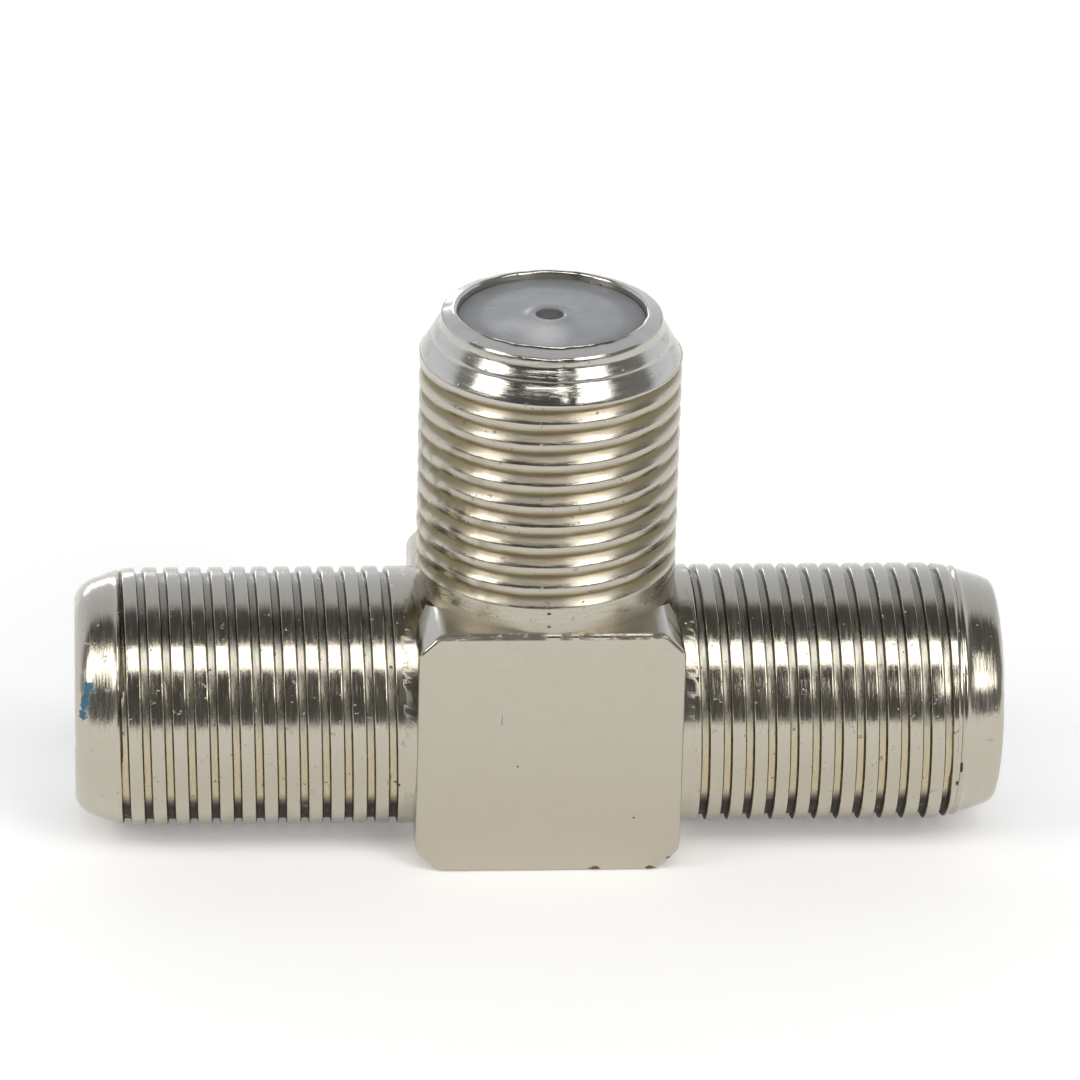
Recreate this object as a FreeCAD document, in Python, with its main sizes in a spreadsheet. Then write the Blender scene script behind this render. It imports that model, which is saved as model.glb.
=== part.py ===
import FreeCAD
import Part
import Sketcher
import os

# A coaxial splitter: a die-cast block with three threaded socket barrels, left,
# right and on top, whose centre contacts are joined inside the block.
# Millimetres and degrees. The origin is the centre of the block's bottom face, +X
# runs to the right-hand port, +Z up the branch port, -Y is the face that is seen.

SIZES = (
    ("block_side", "9.5", "width, depth and height of the square block"),
    ("block_corner", "0.8", "chamfer on the block's four long corners"),
    ("block_rim", "0.2", "bevel round the block's front and back faces"),
    ("left_reach", "16.85", "block centre to the left port's end face"),
    ("right_reach", "16.35", "block centre to the right port's end face"),
    ("branch_reach", "14.8", "block centre to the branch port's end face"),
    ("left_nose", "1.5", "unthreaded nose of the left port"),
    ("right_nose", "1.75", "unthreaded nose of the right port"),
    ("branch_nose", "1.25", "unthreaded nose of the branch port"),
    ("thread_major", "9.3", "diameter over the thread crests, 3/8 inch size"),
    ("root_draft", "0.1", "how much each barrel narrows as it enters the block"),
    ("nose_step", "0.15", "step down from the thread's crest to the nose"),
    ("nose_taper", "0.4", "how much the nose narrows towards its lip"),
    ("lip_round", "0.4", "how far the rolled lip turns in and back"),
    ("lip_thickness", "0.6", "rolled lip, measured along the port"),
    ("lip_overlap", "0.275", "how far the lip covers the insulator's flange"),
    ("seat_wall", "1.05", "barrel wall round the insulator's flange"),
    ("seat_ledge", "0.3", "ledge that the insulator's flange sits on"),
    ("port_floor", "4.2", "block centre to the floor of each port's bore"),
    ("through_bore", "4.6", "bore across the block from port to port"),
    ("branch_bore", "4.0", "bore up from the block's centre to the branch"),
    ("plastic_play", "0.05", "clearance all round each insulator"),
    ("flange_thickness", "2.0", "insulator's flange behind the lip"),
    ("boss_setback", "0.03", "top of the insulator's boss below the lip"),
    ("boss_height", "0.1", "boss round the entry, above the mound"),
    ("boss_diameter", "1.5", "that boss"),
    ("mound_height", "0.12", "shallow cone that rises to the boss"),
    ("mound_diameter", "5.0", "foot of that cone on the insulator's face"),
    ("entry_hole", "1.1", "hole for the cable's centre conductor"),
    ("entry_chamfer", "0.1", "lead-in at the hole's mouth"),
    ("contact_recess", "1.2", "recess behind the entry that holds the contact"),
    ("contact_gap", "0.1", "free space between contact and recess floor"),
    ("contact_diameter", "1.9", "outside of the tubular contacts"),
    ("contact_chamfer", "0.15", "chamfer on the contacts' outer ends"),
    ("socket_bore", "0.75", "bore of each contact, its fingers at rest"),
    ("socket_depth", "8.0", "depth of that bore"),
    ("drill_point", "118", "angle of the drill's point at the bore's floor"),
    ("slot_width", "0.3", "saw cuts that make the contact's four fingers"),
    ("slot_length", "4.5", "length of those cuts"),
    ("tail_diameter", "1.0", "pin under the branch contact"),
    ("tail_length", "1.5", "length of that pin below its shoulder"),
    ("tail_play", "0.03", "solder gap round the pin"),
)

doc = FreeCAD.newDocument("coaxial_splitter")
sheet = doc.addObject("Spreadsheet::Sheet", "Sizes")
for row, (alias, value, meaning) in enumerate(SIZES, start=1):
    sheet.set(f"A{row}", alias)
    sheet.set(f"B{row}", value)
    sheet.setAlias(f"B{row}", alias)
    sheet.set(f"C{row}", meaning)
doc.recompute()

# How far a cutting outline stands clear of the face that it cuts from.
OVERSHOOT = 0.5
FULL_TURN = 360
# Two places closer than this are the same place.
TOUCHING = 1e-4

# Places and radii that several pieces share, as expressions of the sheet.
HALF_BLOCK = "Sizes.block_side / 2"
CREST_RADIUS = "Sizes.thread_major / 2"
NOSE_ROOT_RADIUS = f"{CREST_RADIUS} - Sizes.nose_step"
NOSE_TIP_RADIUS = f"{NOSE_ROOT_RADIUS} - Sizes.nose_taper"
SEAT_RADIUS = f"{CREST_RADIUS} - Sizes.seat_wall"
OPENING_RADIUS = f"{SEAT_RADIUS} - Sizes.lip_overlap"
BORE_RADIUS = f"{SEAT_RADIUS} - Sizes.seat_ledge"
CONTACT_RADIUS = "Sizes.contact_diameter / 2"

# The three ports. Each is drawn in its own frame: u runs outward from the block's
# centre along the port's axis, v is the distance from that axis. The angle turns
# that frame about the block's centre, from +X towards +Z.
PORTS = {
    "right": {"angle": 0, "reach": "Sizes.right_reach",
              "nose": "Sizes.right_nose", "core": "Sizes.through_bore"},
    "branch": {"angle": 90, "reach": "Sizes.branch_reach",
               "nose": "Sizes.branch_nose", "core": "Sizes.branch_bore"},
    "left": {"angle": 180, "reach": "Sizes.left_reach",
             "nose": "Sizes.left_nose", "core": "Sizes.through_bore"},
}


def amount(expression):
    """The present value of an expression of the sheet."""
    return float(sheet.evalExpression(expression))


def new_body(name):
    body = doc.addObject("PartDesign::Body", name)
    body.Label = name
    return body


def origin_plane(body, role):
    return next(f for f in body.Origin.OriginFeatures if f.Role == role)


def new_sketch(body, name, angle=0, lean=0):
    """A sketch about the block's centre, its own x axis turned by the angle from +X
    towards +Z, and its plane leaned about that axis from the upright one."""
    sketch = body.newObject("Sketcher::SketchObject", name)
    sketch.AttachmentSupport = (origin_plane(body, "XZ_Plane"), "")
    sketch.MapMode = "FlatFace"
    turn = FreeCAD.Rotation(FreeCAD.Vector(0, 0, 1), angle)
    tilt = FreeCAD.Rotation(FreeCAD.Vector(1, 0, 0), lean)
    sketch.AttachmentOffset = FreeCAD.Placement(FreeCAD.Vector(), turn.multiply(tilt))
    sketch.setExpression("AttachmentOffset.Base.y", HALF_BLOCK)
    return sketch


def place_point(sketch, line, u, v):
    """Hold the start of a line at u, v, each an expression or 0 for the axis."""
    for kind, axis, distance in (("DistanceX", -2, u), ("DistanceY", -1, v)):
        if distance == 0:
            sketch.addConstraint(Sketcher.Constraint("PointOnObject", line, 1, axis))
            continue
        at = amount(distance)
        index = sketch.addConstraint(Sketcher.Constraint(kind, -1, 1, line, 1, at))
        label = f"{kind}{line}"
        sketch.renameConstraint(index, label)
        sketch.setExpression(f"Constraints.{label}", distance)


def outline(sketch, corners):
    """Draw a closed outline through corners given as pairs of expressions."""
    spots = [
        FreeCAD.Vector(*[amount(c) if c else 0 for c in corner], 0) for corner in corners
    ]
    for here, there in zip(spots, spots[1:] + spots[:1]):
        sketch.addGeometry(Part.LineSegment(here, there), False)
    for line, (u, v) in enumerate(corners):
        after = (line + 1) % len(corners)
        sketch.addConstraint(Sketcher.Constraint("Coincident", line, 2, after, 1))
        place_point(sketch, line, u, v)
    return sketch


def turned(body, kind, name, angle, corners):
    """Add or groove out a shape turned about the axis of a port."""
    sketch = outline(new_sketch(body, name + "_outline", angle), corners)
    feature = body.newObject(kind, name)
    feature.Profile = sketch
    feature.ReferenceAxis = (sketch, ["H_Axis"])
    feature.Angle = FULL_TURN
    doc.recompute()
    return feature


def solid_of_revolution(body, name, angle, corners):
    return turned(body, "PartDesign::Revolution", name, angle, corners)


def turned_cut(body, name, angle, corners):
    return turned(body, "PartDesign::Groove", name, angle, corners)


def along_y(edge):
    return edge.tangentAt(edge.FirstParameter).y


def edges_where(shape, wanted):
    """Names of a shape's edges that the test picks."""
    return [f"Edge{n}" for n, edge in enumerate(shape.Edges, start=1) if wanted(edge)]


def chamfer(body, name, edges, size):
    """Chamfer the named edges of a body's last feature."""
    base = body.Tip
    feature = body.newObject("PartDesign::Chamfer", name)
    feature.Base = (base, edges)
    feature.setExpression("Size", size)
    doc.recompute()


def add_block(body):
    """The square block, with chamfered long corners and bevelled front and back."""
    near, far = HALF_BLOCK, f"-{HALF_BLOCK}"
    sketch = outline(new_sketch(body, "block_outline"), [
        (far, far), (near, far), (near, near), (far, near),
    ])
    block = body.newObject("PartDesign::Pad", "block")
    block.Profile = sketch
    block.SideType = "Symmetric"
    block.setExpression("Length", "Sizes.block_side")
    doc.recompute()
    corners = edges_where(block.Shape, lambda edge: abs(along_y(edge)) > 0.99)
    chamfer(body, "block_corners", corners, "Sizes.block_corner")
    face_y = amount(HALF_BLOCK)
    rims = edges_where(
        body.Tip.Shape, lambda edge: abs(abs(edge.CenterOfMass.y) - face_y) < TOUCHING
    )
    chamfer(body, "block_rims", rims, "Sizes.block_rim")


def add_barrel(body, name, port):
    """One barrel: a land of the thread's crest diameter, and a nose that tapers to
    the lip, whose rounded turn is drawn as two flats. Inside the block's chamfered
    corners the barrel narrows by the casting draft."""
    inside = f"{HALF_BLOCK} - Sizes.block_corner"
    thread_end = f"{port['reach']} - {port['nose']}"
    half_turn = "Sizes.lip_round * (1 - sqrt(0.5))"
    solid_of_revolution(body, f"{name}_barrel", port["angle"], [
        (inside, 0),
        (inside, f"{CREST_RADIUS} - Sizes.root_draft"),
        (HALF_BLOCK, CREST_RADIUS),
        (thread_end, CREST_RADIUS),
        (thread_end, NOSE_ROOT_RADIUS),
        (f"{port['reach']} - Sizes.lip_round", NOSE_TIP_RADIUS),
        (f"{port['reach']} - {half_turn}", f"{NOSE_TIP_RADIUS} - {half_turn}"),
        (port["reach"], f"{NOSE_TIP_RADIUS} - Sizes.lip_round"),
        (port["reach"], 0),
    ])


def bore_port(body, name, port):
    """The stepped bore of one port, from the block's centre out through the lip."""
    beyond = f"{port['reach']} + {OVERSHOOT}"
    lip_back = f"{port['reach']} - Sizes.lip_thickness"
    seat = f"{lip_back} - Sizes.flange_thickness"
    core = f"{port['core']} / 2"
    turned_cut(body, f"{name}_bore", port["angle"], [
        (0, 0),
        (0, core),
        ("Sizes.port_floor", core),
        ("Sizes.port_floor", BORE_RADIUS),
        (seat, BORE_RADIUS),
        (seat, SEAT_RADIUS),
        (lip_back, SEAT_RADIUS),
        (lip_back, OPENING_RADIUS),
        (beyond, OPENING_RADIUS),
        (beyond, 0),
    ])


def make_body():
    """The plated zinc casting: block, barrels and bores in one piece."""
    body = new_body("body")
    add_block(body)
    for name, port in PORTS.items():
        add_barrel(body, name, port)
    for name, port in PORTS.items():
        bore_port(body, name, port)
    return body


def make_insulator(name, port):
    """The moulded plug in a port's mouth: a flange caught behind the rolled lip, a
    face that rises as a shallow cone to the boss round the entry hole, and a recess
    behind for the contact."""
    body = new_body(f"{name}_insulator")
    play = "Sizes.plastic_play"
    boss = f"{port['reach']} - Sizes.boss_setback"
    mound = f"{boss} - Sizes.boss_height"
    face = f"{mound} - Sizes.mound_height"
    flange = f"{port['reach']} - Sizes.lip_thickness"
    back = f"{flange} - Sizes.flange_thickness"
    solid_of_revolution(body, f"{name}_plug", port["angle"], [
        (back, 0),
        (back, f"{SEAT_RADIUS} - {play}"),
        (flange, f"{SEAT_RADIUS} - {play}"),
        (flange, f"{OPENING_RADIUS} - {play}"),
        (face, f"{OPENING_RADIUS} - {play}"),
        (face, "Sizes.mound_diameter / 2"),
        (mound, "Sizes.boss_diameter / 2"),
        (boss, "Sizes.boss_diameter / 2"),
        (boss, 0),
    ])
    hole = "Sizes.entry_hole / 2"
    recess = f"{CONTACT_RADIUS} + {play}"
    recess_floor = f"{back} + Sizes.contact_recess"
    turned_cut(body, f"{name}_entry", port["angle"], [
        (f"{back} - {OVERSHOOT}", 0),
        (f"{back} - {OVERSHOOT}", recess),
        (recess_floor, recess),
        (recess_floor, hole),
        (f"{boss} - Sizes.entry_chamfer", hole),
        (boss, f"{hole} + Sizes.entry_chamfer"),
        (f"{boss} + {OVERSHOOT}", f"{hole} + Sizes.entry_chamfer"),
        (f"{boss} + {OVERSHOOT}", 0),
    ])
    return body


def contact_end(port):
    """How far a contact reaches out: just short of its recess floor."""
    return (
        f"{port['reach']} - Sizes.lip_thickness - Sizes.flange_thickness"
        " + Sizes.contact_recess - Sizes.contact_gap"
    )


def open_socket(body, name, port):
    """Bore the end of a contact and saw it crosswise into four fingers."""
    end = contact_end(port)
    beyond = f"{end} + {OVERSHOOT}"
    floor = f"{end} - Sizes.socket_depth"
    bore = "Sizes.socket_bore / 2"
    turned_cut(body, f"{name}_socket", port["angle"], [
        (f"{floor} - {bore} * tan(90 - Sizes.drill_point / 2)", 0),
        (floor, bore),
        (beyond, bore),
        (beyond, 0),
    ])
    for way, lean in (("upright", 0), ("across", 90)):
        cut_slot(body, f"{name}_slot_{way}", port["angle"], lean, end)


def cut_slot(body, name, angle, lean, end):
    """One saw cut through the tube's end, as wide as the blade."""
    half, inner = "Sizes.slot_width / 2", f"{end} - Sizes.slot_length"
    beyond = f"{end} + {OVERSHOOT}"
    sketch = outline(new_sketch(body, name + "_outline", angle, lean), [
        (inner, half), (beyond, half), (beyond, f"-{half}"), (inner, f"-{half}"),
    ])
    slot = body.newObject("PartDesign::Pocket", name)
    slot.Profile = sketch
    slot.SideType = "Symmetric"
    slot.Type = "ThroughAll"
    doc.recompute()


def make_through_contact():
    """The tube from left port to right port, cross-drilled for the branch."""
    body = new_body("through_contact")
    radius, ease = CONTACT_RADIUS, "Sizes.contact_chamfer"
    left, right = (contact_end(PORTS[side]) for side in ("left", "right"))
    solid_of_revolution(body, "through_tube", PORTS["right"]["angle"], [
        (f"-({left})", 0),
        (f"-({left})", f"{radius} - {ease}"),
        (f"-({left}) + {ease}", radius),
        (f"{right} - {ease}", radius),
        (right, f"{radius} - {ease}"),
        (right, 0),
    ])
    for side in ("left", "right"):
        open_socket(body, side, PORTS[side])
    turned_cut(body, "cross_hole", PORTS["branch"]["angle"], [
        (f"-{radius} - {OVERSHOOT}", 0),
        (f"-{radius} - {OVERSHOOT}", "Sizes.tail_diameter / 2"),
        (f"{radius} + {OVERSHOOT}", "Sizes.tail_diameter / 2"),
        (f"{radius} + {OVERSHOOT}", 0),
    ])
    return body


def make_branch_contact():
    """The branch port's tube, standing on the through tube on a soldered pin."""
    body = new_body("branch_contact")
    port = PORTS["branch"]
    radius, ease = CONTACT_RADIUS, "Sizes.contact_chamfer"
    tail = "Sizes.tail_diameter / 2 - Sizes.tail_play"
    end = contact_end(port)
    solid_of_revolution(body, "branch_tube", port["angle"], [
        (f"{radius} - Sizes.tail_length", 0),
        (f"{radius} - Sizes.tail_length", tail),
        (radius, tail),
        (radius, radius),
        (f"{end} - {ease}", radius),
        (end, f"{radius} - {ease}"),
        (end, 0),
    ])
    open_socket(body, "branch", port)
    return body


pieces = [make_body()]
pieces += [make_insulator(name, port) for name, port in PORTS.items()]
pieces += [make_through_contact(), make_branch_contact()]
doc.recompute()

for item in doc.Objects:
    if {"Invalid", "Error"} & set(item.State):
        raise SystemExit(f"{item.Label} did not build: {item.State}")
for piece in pieces:
    if piece.Shape.isNull() or not piece.Shape.isValid() or len(piece.Shape.Solids) != 1:
        raise SystemExit(f"{piece.Label} is not one sound solid")

os.makedirs("parts", exist_ok=True)
for piece in pieces:
    piece.Shape.exportStep(f"parts/{piece.Label}.step")
    print(piece.Label, round(piece.Shape.Volume, 3), "cubic mm")
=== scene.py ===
import math

import bmesh
import bpy
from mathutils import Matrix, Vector, noise


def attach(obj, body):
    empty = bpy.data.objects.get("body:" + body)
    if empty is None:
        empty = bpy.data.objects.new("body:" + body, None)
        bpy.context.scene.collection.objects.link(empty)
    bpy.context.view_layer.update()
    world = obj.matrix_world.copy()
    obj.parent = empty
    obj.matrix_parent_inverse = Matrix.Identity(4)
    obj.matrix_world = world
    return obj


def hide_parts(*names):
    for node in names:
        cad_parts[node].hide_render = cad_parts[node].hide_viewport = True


# The visual model of the coaxial splitter. Lengths below are in millimetres and are
# turned into metres where a mesh, a light or the camera is made.

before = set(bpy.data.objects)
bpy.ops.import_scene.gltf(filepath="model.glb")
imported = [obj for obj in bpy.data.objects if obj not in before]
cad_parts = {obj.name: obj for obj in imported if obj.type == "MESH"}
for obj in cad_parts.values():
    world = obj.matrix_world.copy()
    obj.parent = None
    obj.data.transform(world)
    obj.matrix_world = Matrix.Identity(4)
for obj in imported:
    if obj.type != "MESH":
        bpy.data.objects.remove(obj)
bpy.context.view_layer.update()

MM = 0.001
ROUND = 128
SHARP_ANGLE = math.radians(38)

# The block: half its side, its cut corners and how softly these and the front and back
# rims are rounded. The barrels' axes meet at its middle.
HALF_BLOCK = 4.75
BLOCK_CORNER = 0.8
CORNER_EASE, CORNER_STEPS = 0.28, 6
RIM_EASE, RIM_STEPS = 0.17, 4
CENTRE = Vector((0, 0, HALF_BLOCK))

# The barrels: the thread's crest and pitch, the lip with its opening, the seat and the
# bore behind it, and how far out each barrel is joined to the block's casting. Corners
# that round to the same place, or lie closer than the last length, become one.
CREST = 4.65
PITCH = 0.79375
LIP_THICKNESS = 0.6
OPENING, SEAT, BORE = 3.325, 3.6, 3.3
FLANGE = 2.0
WELD = 5.12
PLACES_PER_MM = 2000
SAME_PLACE = 0.0015

# The casting's inside: half length and radius of the hollow through the block, radius of
# the one up into the branch, and where each bore's mouth starts and ends. Each barrel's
# root starts inside the block, where it is a little thinner.
HOLLOW_REACH, THROUGH_HOLLOW, BRANCH_HOLLOW = 4.5, 2.3, 2.0
MOUTH_START, MOUTH_END = 4.2, WELD + 0.6
ROOT_START, ROOT_STEP = 1.0, 0.1

# Each port in its own frame: out along its axis, and two directions across it that
# make a right-handed set with it. The groove is where the thread passes the front of the
# barrel, and front is the share of a turn at which that front lies. The rise is how far
# the rolled lip stands up past the shoulder. With ease, the thread's last turn gets lower
# towards the nose. Between the two fade distances the first groove deepens.
PORTS = {
    "left": dict(out=(-1, 0, 0), across=((0, 0, 1), (0, 1, 0)), reach=16.85, nose=1.5,
                 rise=0.0, ease=1, groove=5.57, front=0.75, fade=(5.16, 5.36)),
    "right": dict(out=(1, 0, 0), across=((0, 1, 0), (0, 0, 1)), reach=16.35, nose=1.75,
                  rise=0.0, ease=1, groove=5.57, front=0.5, fade=(5.16, 5.36)),
    "branch": dict(out=(0, 0, 1), across=((1, 0, 0), (0, 1, 0)), reach=14.8, nose=1.25,
                   rise=0.38, ease=0, groove=6.02, front=0.75, fade=(5.5, 5.8)),
}

# Each nose from the end of the thread to the top of its lip: distance back from the
# port's end and radius there.
NOSES = {
    "left": [(1.48, 4.56), (1.28, 4.48), (1.07, 4.41), (0.85, 4.33), (0.64, 4.26), (0.52, 4.21),
             (0.42, 4.15), (0.31, 4.07), (0.2, 3.97), (0.12, 3.87), (0.06, 3.77), (0.02, 3.67),
             (0.0, 3.57)],
    "right": [(1.74, 4.52), (1.68, 4.47), (1.6, 4.46), (1.54, 4.51), (1.48, 4.53), (1.41, 4.52),
              (1.36, 4.47), (1.27, 4.42), (1.1, 4.37), (0.9, 4.31), (0.72, 4.255), (0.55, 4.2),
              (0.36, 4.135), (0.22, 4.08), (0.13, 4.03), (0.08, 3.96), (0.04, 3.88),
              (0.015, 3.78), (0.0, 3.66)],
    "branch": [(1.24, 4.61), (1.16, 4.58), (1.08, 4.54), (1.0, 4.49), (0.9, 4.425), (0.8, 4.36),
               (0.7, 4.29), (0.64, 4.245), (0.6, 4.222), (0.56, 4.213), (0.51, 4.205),
               (0.46, 4.185), (0.4, 4.145), (0.3, 4.08), (0.22, 4.025), (0.16, 3.985),
               (0.11, 3.965), (0.04, 3.955), (-0.04, 3.943), (-0.12, 3.928), (-0.175, 3.91),
               (-0.195, 3.89), (-0.185, 3.87), (-0.215, 3.855), (-0.245, 3.76), (-0.28, 3.65),
               (-0.315, 3.54), (-0.345, 3.45)],
}

# The turned-in edge of a lip: distance below its top and radius past the opening.
LIP_EDGE = [(0, 0.1), (0.012, 0.05), (0.05, 0.015)]
LIP_DEPTH = 0.12

# The front of the plug in the raised lip: height past the shoulder and radius, from its
# rim over the shallow mound and the boss into the entry hole. Mound and hole lie off the
# middle. Its flange and rim have play, and its back is hollow round the contact.
PLUG_FACE = [(0.075, 3.31), (0.095, 3.28), (0.095, 2.62), (0.1, 2.5), (0.128, 2.1), (0.16, 1.6),
             (0.185, 1.2), (0.2, 0.98), (0.222, 0.86), (0.26, 0.78), (0.292, 0.71), (0.3, 0.63),
             (0.29, 0.56), (0.25, 0.5), (0.18, 0.48)]
PLUG_SHIFT = Vector((-0.1, -0.14, 0.0))
PLUG_RIM = 2.7
PLUG_MOUND = 1.2
FLANGE_PLAY, RIM_PLAY = 0.05, 0.015
ENTRY, RECESS, RECESS_DEPTH = 0.55, 1.0, 1.2

# One thread groove along a barrel: distance from its middle and depth there. The ones
# of the two side ports are flat at the bottom, those of the branch slope on their lower
# side. In these a stain with painted shade lies between the two distances, up to the crest above.
SIDE_GROOVE = [(-0.225, 0.0), (-0.195, 0.0), (-0.175, 0.006), (-0.155, 0.03), (-0.12, 0.2),
               (-0.105, 0.225), (-0.05, 0.23), (0.05, 0.23), (0.105, 0.225), (0.12, 0.2),
               (0.155, 0.03), (0.175, 0.006), (0.195, 0.0), (0.225, 0.0)]
BRANCH_GROOVE = [(-0.34, 0.0), (-0.3, 0.008), (-0.26, 0.03), (-0.2, 0.068), (-0.13, 0.115),
                 (-0.07, 0.155), (-0.02, 0.188), (0.01, 0.205), (0.04, 0.216), (0.12, 0.222),
                 (0.155, 0.216), (0.18, 0.18), (0.2, 0.04), (0.215, 0.008), (0.235, 0.0)]
STAIN_AND_SHADE_FROM, STAIN_AND_SHADE_TO = 0.03, 0.24

# Before the thread's end, the grooves fade out between two distances, and the last turn
# gets lower over its length. The crests and noses are worn by up to the last depth.
FADE_OUT = (0.2, 0.03)
LAST_TURN, LAST_TURN_DROP = 0.7, 0.07
SURFACE_WEAR = 0.012

# The lips: how ragged the opening's edge is, how far the top sinks in places, and how much
# further the branch port's lip is turned in at the front.
RAGGED, SUNK, TURNED_IN = 0.05, 0.04, 0.19

# The nick in the branch port's nose: its place round the nose, its depth and half width,
# and the height, half width and half length of the swelling beside it.
NICK_TURN, NICK_RADIUS = math.radians(273.5), 4.3
NICK_DEPTH, NICK_WIDTH = 0.07, 0.09
SWELL_HEIGHT, SWELL_WIDTH, SWELL_LENGTH = 0.05, 0.16, 0.25


def smooth_step(low, high, value):
    t = min(max((value - low) / (high - low), 0.0), 1.0)
    return t * t * (3 - 2 * t)


def blend(low, high, amount):
    return low + (high - low) * amount


def column_turn(column):
    return math.tau * (column % ROUND) / ROUND


def port_places(port):
    """Gives the place on the part for a distance along a port, a radius and a turn."""
    out = Vector(port["out"])
    one, two = (Vector(direction) for direction in port["across"])

    def place(u, radius, turn):
        return CENTRE + out * u + (one * math.cos(turn) + two * math.sin(turn)) * radius
    return place


def wear(u, turn, seed, size=1.0):
    """A small irregularity of the surface, smooth round the barrel."""
    around = Vector((math.cos(turn) * 2.2, math.sin(turn) * 2.2, u * 0.9 + seed))
    return noise.noise(around * size)


def seam_dent(name, u, turn, reach):
    """The nick and parting seam down the front of the branch port's nose."""
    if name != "branch" or u < reach - 1.5:
        return 0.0
    off = (turn - NICK_TURN) * NICK_RADIUS
    deep = math.exp(-(off / NICK_WIDTH) ** 2) * smooth_step(reach - 1.5, reach - 1.1, u)
    deep *= smooth_step(reach + 0.26, reach + 0.19, u)
    swell = math.exp(-((off + 0.22) / SWELL_WIDTH) ** 2)
    swell *= math.exp(-((u - reach + 1.0) / SWELL_LENGTH) ** 2)
    return NICK_DEPTH * deep - SWELL_HEIGHT * swell


def thread_rings(name, port, seed):
    """The thread: each ring climbs by one pitch on its way round the barrel."""
    land_end = port["reach"] - port["nose"]
    start = port["groove"] - port["front"] * PITCH
    profile = BRANCH_GROOVE if name == "branch" else SIDE_GROOVE
    profile = profile + [((profile[-1][0] + profile[0][0] + PITCH) / 2, 0.0)]
    full = max(depth for _, depth in profile)
    rings = []
    for turn_number in range(-2, int((land_end - WELD) / PITCH) + 3):
        for shift, depth in profile:
            # The stain and the shade painted with it lie between these two distances in the
            # branch's grooves.
            stained_and_shaded = name == "branch" and STAIN_AND_SHADE_FROM < shift < STAIN_AND_SHADE_TO
            ring = []
            for column in range(ROUND + 1):
                u = start + PITCH * (turn_number + column / ROUND) + shift
                u = min(max(u, WELD), land_end)
                window = smooth_step(*port["fade"], u)
                window *= 1 - smooth_step(land_end - FADE_OUT[0], land_end - FADE_OUT[1], u)
                worn = 0.0
                if depth < 0.02:
                    worn = SURFACE_WEAR * max(0.0, wear(u, column_turn(column), seed, 1.7))
                    worn *= smooth_step(WELD, WELD + 0.3, u)
                drop = LAST_TURN_DROP * smooth_step(land_end - LAST_TURN, land_end, u)
                drop *= port["ease"]
                ring.append((u, CREST - drop - depth * window - worn, depth / full * window,
                             window if stained_and_shaded else 0.0))
            rings.append(ring)
    return rings


def nose_rings(name, port, seed):
    """The nose and the rolled lip, from the thread's end to the opening."""
    reach = port["reach"]
    top = reach + port["rise"]
    rows = [(reach - back, radius) for back, radius in NOSES[name]]
    rows += [(top - down, OPENING + past) for down, past in LIP_EDGE]
    rings = []
    for u, radius in rows:
        lip = smooth_step(reach - 0.3, reach, u)
        near_opening = smooth_step(OPENING + 0.3, OPENING + 0.02, radius)
        ring = []
        for column in range(ROUND + 1):
            turn = column_turn(column)
            ragged = RAGGED * wear(7, turn, seed, 1.6) + RAGGED * wear(3, turn, seed, 5.0)
            sunk = SUNK * lip * max(0.0, wear(5, turn, seed, 3.5))
            r = radius + max(0.0, ragged) * near_opening
            if name == "branch":
                front = max(0.0, -math.sin(turn)) ** 1.5
                r -= TURNED_IN * front * smooth_step(OPENING + 0.5, OPENING + 0.04, radius)
            r -= seam_dent(name, u, turn, reach) * (1 - near_opening)
            r -= SURFACE_WEAR * max(0.0, wear(u, turn, seed + 9, 1.1)) * (1 - near_opening)
            ring.append((u - sunk, r, 0.0, 0.0))
        rings.append(ring)
    return rings


def inner_rings(port):
    """The bore behind the lip, down to where it meets the block's casting."""
    lip_back = port["reach"] - LIP_THICKNESS
    seat = lip_back - FLANGE
    rows = [(port["reach"] + port["rise"] - LIP_DEPTH, OPENING), (lip_back, OPENING),
            (lip_back, SEAT), (seat, SEAT), (seat, BORE), (WELD, BORE)]
    return [[(u, radius, 0.0, 0.0)] * (ROUND + 1) for u, radius in rows]


def barrel_mesh(name, port):
    """Corners and faces of a barrel, with those that fall together welded, and for each
    corner its share of the groove's depth and of the stain with its painted shade."""
    place_at = port_places(port)
    seed = sum(ord(letter) for letter in name)
    places, shades, index_of = [], [], {}
    grid = []
    for ring in thread_rings(name, port, seed) + nose_rings(name, port, seed) + inner_rings(port):
        line = []
        for column, (u, radius, depth, stain_and_shade) in enumerate(ring):
            place = place_at(u, radius, column_turn(column))
            key = tuple(round(value * PLACES_PER_MM) for value in place)
            if key not in index_of:
                index_of[key] = len(places)
                places.append(place)
                shades.append((depth, stain_and_shade))
            line.append(index_of[key])
        grid.append(line)
    faces = {}
    for lower, upper in zip(grid, grid[1:]):
        for column in range(ROUND):
            corners = (lower[column], lower[column + 1], upper[column + 1], upper[column])
            kept = [c for n, c in enumerate(corners) if c != corners[n - 1]]
            if len(set(kept)) == len(kept) > 2:
                faces.setdefault(frozenset(kept), kept)
    return places, list(faces.values()), shades


def add_object(name, data):
    made = bpy.data.objects.new(name, data)
    bpy.context.collection.objects.link(made)
    return made


def mesh_object(name, places, faces):
    mesh = bpy.data.meshes.new(name)
    mesh.from_pydata([tuple(place) for place in places], [], faces)
    return add_object(name, mesh)


def smooth_faces(mesh):
    """Smooth shading, with creases where the surface turns sharply."""
    for polygon in mesh.polygons:
        polygon.use_smooth = True
    mesh.set_sharp_from_angle(angle=SHARP_ANGLE)


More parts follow.
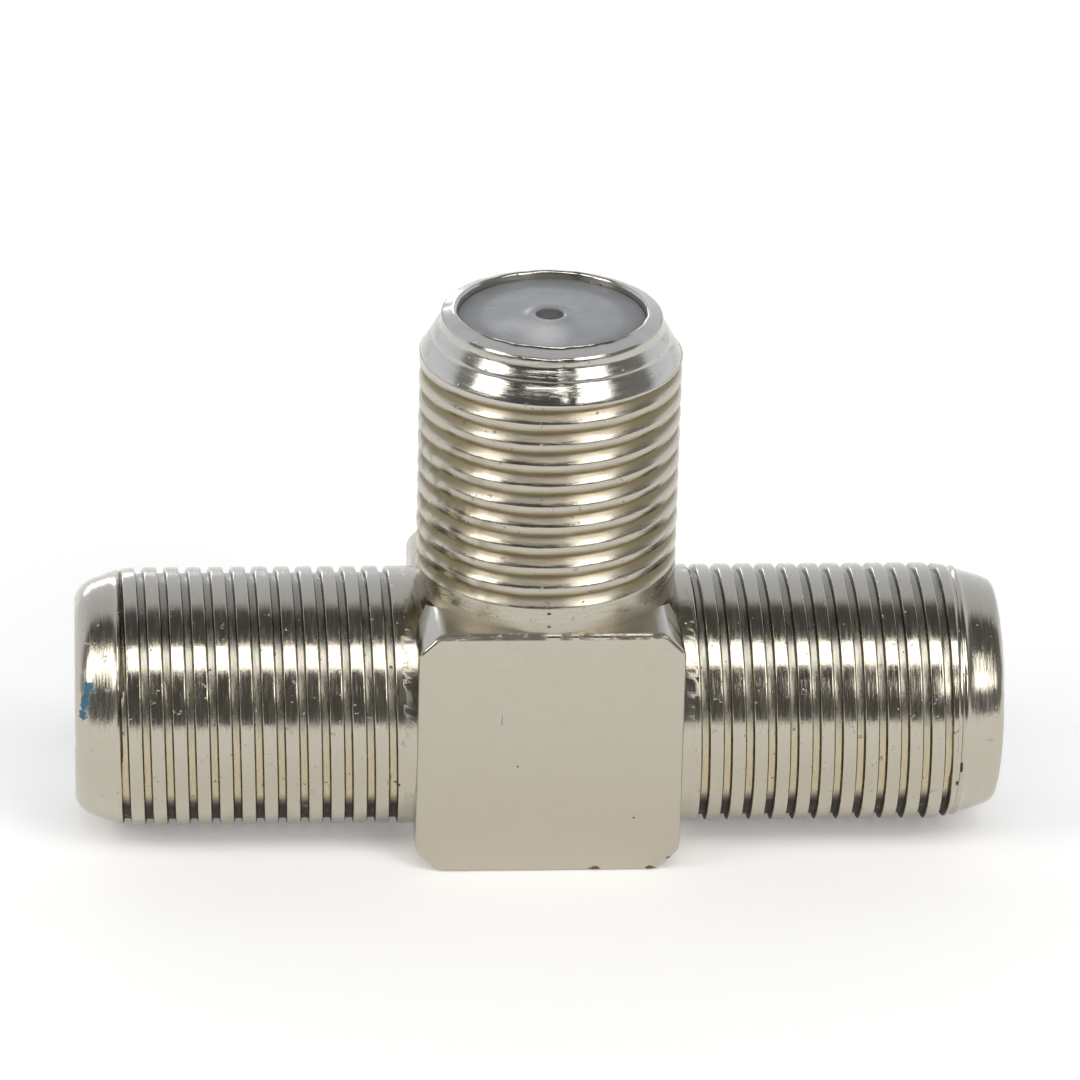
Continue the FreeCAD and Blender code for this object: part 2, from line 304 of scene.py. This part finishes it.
def turned_tool(name, port, rows):
    """A closed round tool along a port's axis, for joining or cutting."""
    place_at = port_places(port)
    places = [place_at(u, radius, column_turn(column)) for u, radius in rows
              for column in range(ROUND)]
    faces = []
    for row in range(len(rows) - 1):
        for column in range(ROUND):
            after = (column + 1) % ROUND
            a, b = row * ROUND, (row + 1) * ROUND
            faces.append((a + column, a + after, b + after, b + column))
    faces.append(tuple(reversed(range(ROUND))))
    faces.append(tuple(range((len(rows) - 1) * ROUND, len(rows) * ROUND)))
    return mesh_object(name, places, faces)


def block_outline():
    """The block's side view, its cut corners softly rounded."""
    near, far = HALF_BLOCK, HALF_BLOCK - BLOCK_CORNER
    corners = [Vector(corner) for corner in (
        (near, far), (far, near), (-far, near), (-near, far),
        (-near, -far), (-far, -near), (far, -near), (near, -far))]
    outline = []
    for n, corner in enumerate(corners):
        before = corner + (corners[n - 1] - corner).normalized() * CORNER_EASE
        after = corner + (corners[(n + 1) % 8] - corner).normalized() * CORNER_EASE
        for step in range(CORNER_STEPS):
            t = step / (CORNER_STEPS - 1)
            outline.append(before * (1 - t) ** 2 + corner * 2 * t * (1 - t) + after * t ** 2)
    return outline


def block_blank():
    """The block before its barrels are joined on, its front and back rims rounded."""
    outline = block_outline()
    shape = bmesh.new()
    rims = [[shape.verts.new((x, y, CENTRE.z + z)) for x, z in outline]
            for y in (-HALF_BLOCK, HALF_BLOCK)]
    shape.faces.new(rims[0])
    shape.faces.new(list(reversed(rims[1])))
    for n in range(len(outline)):
        after = (n + 1) % len(outline)
        shape.faces.new((rims[0][after], rims[0][n], rims[1][n], rims[1][after]))
    bmesh.ops.recalc_face_normals(shape, faces=shape.faces)
    rim_edges = [edge for edge in shape.edges
                 if abs(edge.verts[0].co.y - edge.verts[1].co.y) < 1e-6]
    bmesh.ops.bevel(shape, geom=rim_edges, offset=RIM_EASE, segments=RIM_STEPS,
                    profile=0.5, affect="EDGES", clamp_overlap=True)
    mesh = bpy.data.meshes.new("block_blank")
    shape.to_mesh(mesh)
    shape.free()
    return add_object("block_blank", mesh)


def combine(base, tool, operation):
    """Join a tool to the base or cut it out, and drop the tool."""
    change = base.modifiers.new(operation, "BOOLEAN")
    change.operation = operation
    change.solver = "EXACT"
    change.object = tool
    bpy.context.view_layer.update()
    shaped = base.evaluated_get(bpy.context.evaluated_depsgraph_get())
    mesh = bpy.data.meshes.new_from_object(shaped)
    base.modifiers.remove(change)
    base.data = mesh
    bpy.data.objects.remove(tool)


def casting_core():
    """The block with the roots of its barrels and the bores that meet inside it."""
    core = block_blank()
    root = [(ROOT_START, CREST - ROOT_STEP), (HALF_BLOCK - BLOCK_CORNER, CREST - ROOT_STEP),
            (HALF_BLOCK, CREST), (WELD, CREST)]
    for name, port in PORTS.items():
        combine(core, turned_tool(name + "_root", port, root), "UNION")
    through = [(-HOLLOW_REACH, THROUGH_HOLLOW), (HOLLOW_REACH, THROUGH_HOLLOW)]
    upward = [(0.0, BRANCH_HOLLOW), (HOLLOW_REACH, BRANCH_HOLLOW)]
    combine(core, turned_tool("through_core", PORTS["right"], through), "DIFFERENCE")
    combine(core, turned_tool("branch_core", PORTS["branch"], upward), "DIFFERENCE")
    mouth = [(MOUTH_START, BORE), (MOUTH_END, BORE)]
    for name, port in PORTS.items():
        combine(core, turned_tool(name + "_mouth", port, mouth), "DIFFERENCE")
    return core


def open_ends(core):
    """Take away the flat ends of the roots, where the barrels carry on."""
    shape = bmesh.new()
    shape.from_mesh(core.data)
    ends = []
    for port in PORTS.values():
        out = Vector(port["out"])
        for face in shape.faces:
            along = (face.calc_center_median() - CENTRE).dot(out)
            if abs(along - WELD) < 0.002 and face.normal.dot(out) > 0.99:
                ends.append(face)
    bmesh.ops.delete(shape, geom=ends, context="FACES")
    return shape


def make_body():
    """The whole casting as one skin, with layers that its material reads."""
    core = casting_core()
    shape = open_ends(core)
    bpy.data.objects.remove(core)
    groove_layer = shape.verts.layers.float.new("groove")
    # A layer for the stain in the branch's grooves and the shade painted with it.
    stain_and_shade_layer = shape.verts.layers.float.new("stain_and_shade")
    tower_layer = shape.verts.layers.float.new("tower")
    side_layer = shape.verts.layers.float.new("side")
    for name, port in PORTS.items():
        places, faces, shades = barrel_mesh(name, port)
        verts = [shape.verts.new(place) for place in places]
        for vert, (depth, stain_and_shade) in zip(verts, shades):
            vert[groove_layer] = depth
            vert[stain_and_shade_layer] = stain_and_shade
            vert[tower_layer if name == "branch" else side_layer] = 1.0
        for corners in faces:
            shape.faces.new([verts[c] for c in corners])
    bmesh.ops.remove_doubles(shape, verts=shape.verts, dist=SAME_PLACE)
    bmesh.ops.recalc_face_normals(shape, faces=shape.faces)
    for vert in shape.verts:
        vert.co *= MM
    mesh = bpy.data.meshes.new("casting")
    shape.to_mesh(mesh)
    shape.free()
    smooth_faces(mesh)
    return add_object("casting", mesh)


def make_plug(name, port):
    """The moulded plug of a port whose lip stands up, its face level with the lip."""
    reach = port["reach"]
    lip_back = reach - LIP_THICKNESS
    back = lip_back - FLANGE
    flange = SEAT - FLANGE_PLAY
    rows = [(back, RECESS), (back, flange), (lip_back, flange), (lip_back, OPENING - RIM_PLAY)]
    rows += [(reach + rise, radius) for rise, radius in PLUG_FACE]
    rows += [(back + RECESS_DEPTH, ENTRY), (back + RECESS_DEPTH, RECESS)]
    place_at = port_places(port)
    places, faces = [], []
    for row, (u, radius) in enumerate(rows):
        after_row = (row + 1) % len(rows)
        for column in range(ROUND):
            place = place_at(u, radius, column_turn(column))
            if u > reach:
                place += PLUG_SHIFT * smooth_step(PLUG_RIM, PLUG_MOUND, radius)
            places.append(place * MM)
            after = (column + 1) % ROUND
            faces.append((row * ROUND + column, row * ROUND + after,
                          after_row * ROUND + after, after_row * ROUND + column))
    made = mesh_object(name + "_plug", places, faces)
    shape = bmesh.new()
    shape.from_mesh(made.data)
    bmesh.ops.recalc_face_normals(shape, faces=shape.faces)
    shape.to_mesh(made.data)
    shape.free()
    smooth_faces(made.data)
    return made


class Nodes:
    """A node tree, written as sums of sockets and numbers."""

    def __init__(self, owner):
        owner.use_nodes = True
        self.tree = owner.node_tree
        self.tree.nodes.clear()

    def node(self, kind, **settings):
        made = self.tree.nodes.new(kind)
        for key, value in settings.items():
            setattr(made, key, value)
        return made

    def put(self, socket, value):
        if isinstance(value, bpy.types.NodeSocket):
            self.tree.links.new(value, socket)
        else:
            socket.default_value = value

    def vector(self, operation, a, b=None, scale=None):
        made = self.node("ShaderNodeVectorMath", operation=operation)
        self.put(made.inputs[0], a)
        if b is not None:
            self.put(made.inputs[1], b)
        if scale is not None:
            self.put(made.inputs["Scale"], scale)
        return made.outputs["Value" if operation == "LENGTH" else "Vector"]

    def math(self, operation, a, b=0.0):
        made = self.node("ShaderNodeMath", operation=operation)
        self.put(made.inputs[0], a)
        self.put(made.inputs[1], b)
        return made.outputs[0]

    def product(self, first, *others):
        for value in others:
            first = self.math("MULTIPLY", first, value)
        return first

    def away_from(self, value, middle):
        """How far a value is from a middle, to either side."""
        return self.math("ABSOLUTE", self.math("SUBTRACT", value, middle))

    def scale(self, value, low, high, to_low=0.0, to_high=1.0, kind="SMOOTHSTEP"):
        made = self.node("ShaderNodeMapRange", interpolation_type=kind)
        for socket, number in zip(("Value", "From Min", "From Max", "To Min", "To Max"),
                                  (value, low, high, to_low, to_high)):
            self.put(made.inputs[socket], number)
        return made.outputs["Result"]

    def parts(self, vector):
        made = self.node("ShaderNodeSeparateXYZ")
        self.put(made.inputs[0], vector)
        return made.outputs


class Graph(Nodes):
    """A material's nodes. Places in it are in millimetres on the part."""

    def __init__(self, name):
        self.material = bpy.data.materials.new(name)
        super().__init__(self.material)
        coordinates = self.node("ShaderNodeTexCoord").outputs["Object"]
        self.place = self.vector("SCALE", coordinates, scale=1 / MM)

    def colour(self, factor, a, b):
        made = self.node("ShaderNodeMix", data_type="RGBA")
        self.put(made.inputs["Factor"], factor)
        self.put(made.inputs[6], a)
        self.put(made.inputs[7], b)
        return made.outputs[2]

    def tint(self, base, over, *masks):
        """The base colour with another over it, as far as all the masks let it."""
        return self.colour(self.product(*masks), base, over)

    def either(self, factor, a, b):
        """The first vector where the factor is 0, the second where it is 1."""
        made = self.node("ShaderNodeMix", data_type="VECTOR")
        self.put(made.inputs["Factor"], factor)
        self.put(made.inputs[4], a)
        self.put(made.inputs[5], b)
        return made.outputs[1]

    def stretched(self, scales):
        return self.vector("MULTIPLY", self.place, scales)

    def noise(self, vector, scale, detail=2.0, roughness=0.5):
        made = self.node("ShaderNodeTexNoise")
        self.put(made.inputs["Vector"], vector)
        self.put(made.inputs["Scale"], scale)
        self.put(made.inputs["Detail"], detail)
        self.put(made.inputs["Roughness"], roughness)
        return made.outputs["Fac"]

    def attribute(self, name):
        return self.node("ShaderNodeAttribute", attribute_name=name).outputs["Fac"]

    def spot(self, centre, sizes, ragged, grain):
        """1 inside a ragged ellipsoid about a place on the part, 0 outside."""
        away = self.vector("SUBTRACT", self.place, centre)
        off = self.vector("LENGTH", self.vector("DIVIDE", away, sizes))
        rough = self.math("SUBTRACT", self.noise(self.place, grain, 3.0), 0.5)
        off = self.math("ADD", off, self.product(rough, ragged * 4))
        return self.scale(off, 1.1, 0.85)

    def bump(self, height, distance, strength, normal=None):
        made = self.node("ShaderNodeBump")
        self.put(made.inputs["Strength"], strength)
        self.put(made.inputs["Distance"], distance)
        self.put(made.inputs["Height"], height)
        if normal is not None:
            self.put(made.inputs["Normal"], normal)
        return made.outputs["Normal"]

    def finish(self, **sockets):
        shader = self.node("ShaderNodeBsdfPrincipled")
        for name, value in sockets.items():
            self.put(shader.inputs[name.replace("_", " ")], value)
        output = self.node("ShaderNodeOutputMaterial")
        self.tree.links.new(shader.outputs[0], output.inputs["Surface"])
        return self.material


# Colours of the plating, of what has gathered on it, and of the shade painted on it.
NICKEL = (0.505, 0.468, 0.388, 1)
BARE_NICKEL = (0.535, 0.52, 0.48, 1)
TAN = (0.43, 0.365, 0.25, 1)
GOLD = (0.30, 0.25, 0.14, 1)
SIDE_OLIVE = (0.30, 0.255, 0.15, 1)
MIDDLE_SHADE_BROWN = (0.33, 0.285, 0.225, 1)
OLIVE_BROWN = (0.24, 0.195, 0.105, 1)
STRAW = (0.53, 0.465, 0.325, 1)
WALL_BROWN = (0.09, 0.07, 0.045, 1)
SHADE_GREY = (0.17, 0.17, 0.155, 1)
UNDERSIDE_SHADE = (0.045, 0.034, 0.02, 1)
OLIVE = (0.22, 0.19, 0.12, 1)
EDGE_BROWN = (0.06, 0.05, 0.04, 1)
BLUE = (0.045, 0.145, 0.225, 1)
DARK = (0.03, 0.025, 0.02, 1)
RUST = (0.16, 0.09, 0.04, 1)
SCRATCH = (0.36, 0.33, 0.27, 1)

# Marks on the plating: centre, half sizes, raggedness and colour. In turn: the smear of
# blue on the left nose, a pit on the left root, dark specks on the right nose and below
# the thread of the branch, faint marks on the block's face and rust along its foot.
MARKS = [
    ((-16.36, -3.55, 6.95), (0.22, 0.3, 0.19), 0.55, BLUE),
    ((-16.48, -3.75, 6.50), (0.15, 0.3, 0.36), 0.5, BLUE),
    ((-16.58, -3.95, 6.02), (0.15, 0.3, 0.20), 0.55, BLUE),
    ((-5.42, -4.45, 3.40), (0.15, 0.3, 0.08), 0.3, DARK),
    ((14.80, -4.30, 3.90), (0.05, 0.3, 0.30), 0.4, DARK),
    ((14.70, -4.20, 3.10), (0.05, 0.3, 0.12), 0.4, DARK),
    ((-0.18, -4.65, 10.26), (0.07, 0.3, 0.05), 0.3, DARK),
    ((-0.17, -4.65, 9.75), (0.06, 0.3, 0.05), 0.3, RUST),
    ((-1.15, -4.75, 4.25), (0.04, 0.3, 0.03), 0.2, RUST),
    ((3.05, -4.75, 2.15), (0.05, 0.3, 0.04), 0.3, RUST),
    ((-1.75, -4.75, 6.05), (0.03, 0.3, 0.22), 0.6, SCRATCH),
    ((1.71, -4.70, 0.10), (0.20, 0.3, 0.09), 0.4, RUST),
    ((3.69, -4.70, 0.12), (0.16, 0.3, 0.09), 0.4, RUST),
    ((4.50, -4.70, 0.50), (0.22, 0.3, 0.07), 0.5, RUST),
]

# How noise is stretched for the lathe's marks: even on the block, round the side ports
# and round the branch.
EVEN, ROUND_SIDES, ROUND_BRANCH = (2.0, 2.0, 2.0), (10.0, 1.1, 1.1), (1.1, 1.1, 10.0)


def plating():
    g = Graph("plating")
    groove, tower, side = (g.attribute(name) for name in ("groove", "tower", "side"))
    barrel = g.math("MAXIMUM", side, tower)
    x, y, height = g.parts(g.place)
    lathe = g.either(side, g.stretched(EVEN), g.stretched(ROUND_SIDES))
    lathe = g.either(tower, lathe, g.stretched(ROUND_BRANCH))
    scuff = g.noise(lathe, 1.0, 5.0, 0.6)
    patches = g.scale(g.noise(g.place, 0.8, 4.0), 0.35, 0.65)
    in_groove = g.scale(groove, 0.12, 0.9)

    # The branch: a paler nose, and tan grooves with gold at their bottom.
    flank = g.product(g.scale(groove, 0.1, 0.4), tower)
    hollow = g.product(g.scale(groove, 0.35, 0.7), tower)
    bottom = g.product(g.scale(groove, 0.84, 0.95), tower)
    gold_share = g.math("ADD", g.product(patches, 0.35), 0.55)
    colour = g.tint(NICKEL, BARE_NICKEL, g.scale(height, 17.9, 18.4), tower, 0.75)
    colour = g.tint(colour, TAN, hollow, 0.55)
    colour = g.tint(colour, GOLD, bottom, gold_share)

    # Its grooves are olive out to both sides of the front. In the middle, between the two
    # highlights, they are painted pale brown as shade, and an olive-brown stain, deepened by
    # painted shade, lies on the lower edge of each crest.
    olive_sides = g.product(g.scale(groove, 0.15, 0.5), g.scale(g.away_from(x, -0.25), 2.2, 3.0),
                        tower, g.scale(y, 1.0, -0.5))
    colour = g.tint(colour, SIDE_OLIVE, olive_sides, 0.85)
    # Painted shade: the middle of the branch's groove sides, between the two highlights, is pale
    # brown.
    middle = g.product(g.scale(g.away_from(x, -0.6), 1.2, 0.8, 0.0, 0.65), tower,
                       g.scale(groove, 0.1, 0.4))
    colour = g.tint(colour, MIDDLE_SHADE_BROWN, middle)
    # An olive-brown stain with painted shade on each groove's bottom and the crest's lower edge.
    colour = g.tint(colour, OLIVE_BROWN, g.attribute("stain_and_shade"),
                    g.scale(patches, 0.0, 1.0, 0.6, 0.95))

    # The side ports: straw at the bottom of the grooves and brown on their walls in the lower
    # half, grey higher up, and painted shade in the grooves underneath.
    colour = g.tint(colour, STRAW, in_groove, side, g.scale(height, 6.6, 4.4))
    colour = g.tint(colour, WALL_BROWN, g.scale(groove, 0.08, 0.3), g.scale(groove, 0.98, 0.8),
                    side, g.scale(height, 6.6, 4.6, 0.2, 0.8))
    colour = g.tint(colour, SHADE_GREY, g.scale(groove, 0.1, 0.6), side,
                    g.scale(height, 6.8, 7.7, 0.0, 0.6))
    # Painted shade: a dark brown in the grooves under each side barrel, broken up by noise.
    underside_shade = g.product(g.scale(groove, 0.02, 0.2), g.scale(height, 2.9, 2.1), side,
                     g.scale(g.noise(g.place, 1.6, 3.0), 0.1, 0.4))
    colour = g.tint(colour, UNDERSIDE_SHADE, underside_shade)

    # Olive blotches low on the left flank of the branch.
    colour = g.tint(colour, OLIVE, g.scale(g.noise(g.place, 1.5, 4.0), 0.44, 0.62), tower,
                    g.scale(x, -1.2, -3.4), g.scale(height, 17.6, 14.0), 0.7)

    marks = 0.0
    for centre, sizes, ragged, mark_colour in MARKS:
        mark = g.spot(centre, sizes, ragged, 2.2 / max(sizes))
        colour = g.tint(colour, mark_colour, mark)
        marks = g.math("MAXIMUM", marks, mark)

    # A broken dark line with a gap in its middle along the block's top front edge.
    broken = g.noise(g.stretched((1.9, 1.2, 5.0)), 1.0, 5.0, 0.68)
    broken = g.math("SUBTRACT", broken, g.scale(x, -1.0, 1.5, 0.0, 0.08))
    edge = g.product(g.scale(y, -4.55, -4.68), g.scale(height, 9.24, 9.31),
                     g.scale(height, 9.56, 9.47), g.scale(broken, 0.36, 0.52),
                     g.scale(g.away_from(x, 0.0), 0.15, 0.4))
    colour = g.tint(colour, EDGE_BROWN, edge, 0.85)

    # What is duller than the clean metal, and by how much.
    top_face = g.product(g.scale(height, 9.38, 9.46), g.math("SUBTRACT", 1.0, barrel))
    thread = g.product(tower, g.scale(height, 18.2, 17.6))
    neck = g.product(tower, g.scale(height, 11.2, 10.4))
    uneven = g.scale(g.noise(g.place, 0.5, 2.0), 0.3, 0.8)
    shaded = g.math("MAXIMUM", marks, edge)
    rough = g.scale(scuff, 0.35, 0.75, 0.10, 0.24)
    for mask, more in ((in_groove, 0.10), (uneven, 0.04), (top_face, 0.26), (flank, 0.045),
                       (hollow, 0.10), (thread, 0.045), (neck, 0.07), (underside_shade, 0.4),
                       (middle, 0.16), (olive_sides, 0.12), (shaded, 0.35)):
        rough = g.math("ADD", rough, g.product(mask, more))

    # Lathe marks, a fine grain and pits in the plating.
    pits = g.product(g.scale(g.noise(g.place, 3.4, 2.0), 0.69, 0.74), barrel)
    normal = g.bump(scuff, 0.00002, g.product(barrel, 0.45))
    normal = g.bump(g.noise(g.place, 9.0, 3.0), 0.000004, 0.35, normal)
    normal = g.bump(pits, 0.00004, 0.8, normal)
    # Less metal where the marks, the edge line and the painted shade underneath lie.
    metal = g.math("SUBTRACT", 1.0, g.product(g.math("MAXIMUM", shaded, underside_shade), 0.9))
    return g.finish(Base_Color=colour, Metallic=metal, Roughness=rough, Normal=normal)


# Greys of the moulded plugs, with painted shade for the rim and the entry hole, and the
# painted highlights on the branch port's: centre, half sizes and strength.
PLUG_DARKER, PLUG_LIGHTER = (0.252, 0.257, 0.261, 1), (0.292, 0.297, 0.30, 1)
PLUG_RIM_SHADE = (0.17, 0.174, 0.178, 1)
PLUG_SHEEN = (0.52, 0.52, 0.515, 1)
PLUG_HOLE_SHADE = (0.15, 0.154, 0.157, 1)
SHEEN_PATCHES = [((-0.35, -1.55, 19.8), (1.15, 1.5, 3.0), 0.9),
                ((-1.45, -0.85, 19.8), (1.1, 0.9, 3.0), 0.45)]


def moulded_plastic():
    g = Graph("moulded_plastic")
    flat = (1.0, 1.0, 0.0)
    _, _, height = g.parts(g.place)
    in_branch = g.scale(height, 18.0, 18.4)
    colour = g.colour(g.scale(g.noise(g.place, 0.9, 3.0), 0.3, 0.7), PLUG_DARKER, PLUG_LIGHTER)
    # The moulding's rim is painted darker grey as shade, so its mound is paler, and a painted
    # sheen lies in front of its entry hole.
    shaded_rim = g.product(g.scale(g.vector("LENGTH", g.stretched(flat)), 2.3, 2.75), in_branch)
    colour = g.tint(colour, PLUG_RIM_SHADE, shaded_rim, 0.55)
    # Painted highlight: a soft pale sheen on the branch plug's mound, in front of its hole.
    for centre, sizes, strength in SHEEN_PATCHES:
        away = g.vector("DIVIDE", g.vector("SUBTRACT", g.place, centre), sizes)
        glow = g.scale(g.vector("LENGTH", away), 1.0, 0.1, 0.0, strength)
        colour = g.tint(colour, PLUG_SHEEN, glow, in_branch)
    # Painted shade: the entry hole of the branch's plug is darker grey.
    away = g.vector("SUBTRACT", g.place, tuple(PLUG_SHIFT))
    hole_shade = g.scale(g.vector("LENGTH", g.vector("MULTIPLY", away, flat)), 0.52, 0.46)
    colour = g.tint(colour, PLUG_HOLE_SHADE, hole_shade, in_branch)
    rough = g.scale(g.noise(g.place, 1.5, 3.0), 0.2, 0.8, 0.22, 0.32)
    rough = g.math("ADD", rough, g.product(shaded_rim, 0.25))
    normal = g.bump(g.noise(g.place, 1.2, 2.0), 0.00001, 0.4)
    return g.finish(Base_Color=colour, Roughness=rough, Normal=normal, Subsurface_Weight=0.08,
                    Subsurface_Radius=(0.0006, 0.0006, 0.0006))


def contact_brass():
    g = Graph("contact_brass")
    tone = g.noise(g.place, 3.0, 3.0)
    colour = g.colour(g.scale(tone, 0.3, 0.7), (0.62, 0.43, 0.16, 1), (0.75, 0.56, 0.26, 1))
    rough = g.scale(g.noise(g.place, 12.0, 3.0), 0.2, 0.8, 0.2, 0.38)
    return g.finish(Base_Color=colour, Metallic=1.0, Roughness=rough,
                    Normal=g.bump(tone, 0.000005, 0.4))


def paint(piece, material):
    piece.data.materials.clear()
    piece.data.materials.append(material)


plastic = moulded_plastic()
brass = contact_brass()
for node_name, material in (("left_insulator", plastic), ("right_insulator", plastic),
                            ("through_contact", brass), ("branch_contact", brass)):
    paint(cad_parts[node_name], material)

body = make_body()
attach(body, "root")
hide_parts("body")
paint(body, plating())

plug = make_plug("branch", PORTS["branch"])
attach(plug, "root")
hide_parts("branch_insulator")
paint(plug, plastic)

# The floor, a pale sheet that the block stands on, 6 m each way. It looks a little lighter
# to the camera and in reflections than it is for the light on the part.
FLOOR_REACH = 6
FLOOR_LIFT = 0.22
floor_corners = [(FLOOR_REACH * x, FLOOR_REACH * y, 0)
                 for x, y in ((-1, -1), (1, -1), (1, 1), (-1, 1))]
floor = mesh_object("floor", floor_corners, [(0, 1, 2, 3)])
pale = Graph("pale_floor")
paint(floor, pale.finish(Base_Color=(0.93, 0.93, 0.925, 1), Roughness=0.9))
paths = pale.node("ShaderNodeLightPath").outputs
seen = pale.math("MAXIMUM", paths["Is Camera Ray"], paths["Is Glossy Ray"])
glow = pale.node("ShaderNodeEmission")
pale.put(glow.inputs["Strength"], pale.product(seen, FLOOR_LIFT))
both = pale.node("ShaderNodeAddShader")
pale.put(both.inputs[0], pale.tree.nodes["Principled BSDF"].outputs[0])
pale.put(both.inputs[1], glow.outputs[0])
pale.put(pale.tree.nodes["Material Output"].inputs["Surface"], both.outputs[0])

# The room, by the angle up from the front and over to the back: dim in front and overhead,
# light behind, where it is also a little bluer. It is lighter off to both sides.
ROOM = [(0.0, 0.11), (0.25, 0.08), (0.45, 0.08), (0.6, 0.10), (0.66, 0.66), (0.9, 0.85),
        (1.0, 0.95)]
SIDE_LIGHT = 0.17
room = bpy.data.worlds.new("room")
bpy.context.scene.world = room
sky = Nodes(room)
aside, back, up = sky.parts(sky.node("ShaderNodeTexCoord").outputs["Generated"])
over = sky.math("ARCTAN2", up, sky.math("MULTIPLY", back, -1))
ramp = sky.node("ShaderNodeValToRGB")
sky.put(ramp.inputs[0], sky.math("DIVIDE", over, math.pi))
for position, value in ROOM[1:-1]:
    ramp.color_ramp.elements.new(position)
for element, (position, value) in zip(ramp.color_ramp.elements, ROOM):
    element.position = position
    behind = smooth_step(0.58, 0.72, position)
    element.color = (value * blend(1.0, 0.95, behind), value,
                     value * blend(0.98, 1.14, behind), 1)
sides = sky.scale(sky.math("ABSOLUTE", aside), 0.55, 0.9, 0.0, SIDE_LIGHT, kind="LINEAR")
light = sky.node("ShaderNodeBackground")
sky.put(light.inputs["Color"], sky.vector("ADD", ramp.outputs[0], sides))
sky.put(sky.node("ShaderNodeOutputWorld").inputs["Surface"], light.outputs[0])


def direction(azimuth, elevation):
    """The way from the part towards a lamp or the camera. Azimuth 0 is the front."""
    return Vector((math.sin(azimuth) * math.cos(elevation),
                   -math.cos(azimuth) * math.cos(elevation), math.sin(elevation)))


# Soft light from rectangular lamps that face the part, all at one distance: azimuth and
# elevation in degrees, width and height in metres, and power.
LAMP_DISTANCE = 1.6
LAMPS = {
    "front_softbox_low": (5, 55.4, 1.3, 0.26, 4),
    "front_softbox_high": (5, 66.4, 1.3, 0.28, 4.4),
    "right_softbox_low": (36, 29, 0.85, 0.42, 4.5),
    "right_softbox_high": (43, 44.5, 0.6, 0.42, 3.2),
    "left_softbox": (-66, 37, 0.65, 0.88, 6.8),
    "back_softbox": (-166, 11, 0.7, 0.25, 1.4),
}
for name, (azimuth, elevation, width, height, power) in LAMPS.items():
    lamp = bpy.data.lights.new(name, "AREA")
    lamp.shape = "RECTANGLE"
    lamp.size, lamp.size_y = width, height
    lamp.energy = power
    lamp.color = (1.0, 0.985, 0.96)
    way = direction(math.radians(azimuth), math.radians(elevation))
    holder = add_object(name, lamp)
    holder.location = way * LAMP_DISTANCE
    holder.rotation_euler = way.to_track_quat("Z", "Y").to_euler()

# The camera, at the photograph's viewing angle: its distance and the height that it aims
# at in millimetres, its azimuth, elevation and tilt in degrees.
CAMERA_DISTANCE, CAMERA_AIM = 239.9, 10.9
CAMERA_AZIMUTH, CAMERA_ELEVATION, CAMERA_TILT = -4.45, 25.842, 1.58
camera_data = bpy.data.cameras.new("camera")
camera_data.sensor_width = 36.0
camera_data.lens = 223.58
camera_data.shift_x = -0.0055
camera_data.clip_start = 0.01
camera = add_object("camera", camera_data)
bpy.context.scene.camera = camera
azimuth, tilt = math.radians(CAMERA_AZIMUTH), math.radians(CAMERA_TILT)
backward = direction(azimuth, math.radians(CAMERA_ELEVATION))
level = Vector((math.cos(azimuth), math.sin(azimuth), 0))
upright = backward.cross(level)
right = level * math.cos(tilt) + upright * math.sin(tilt)
above = upright * math.cos(tilt) - level * math.sin(tilt)
stand = (Vector((0, 0, CAMERA_AIM)) + backward * CAMERA_DISTANCE) * MM
pose = camera.matrix_world.copy()
for column, axis in enumerate((right, above, backward, stand)):
    for row in range(3):
        pose[row][column] = axis[row]
camera.matrix_world = pose

bpy.context.scene.view_settings.view_transform = "Standard"
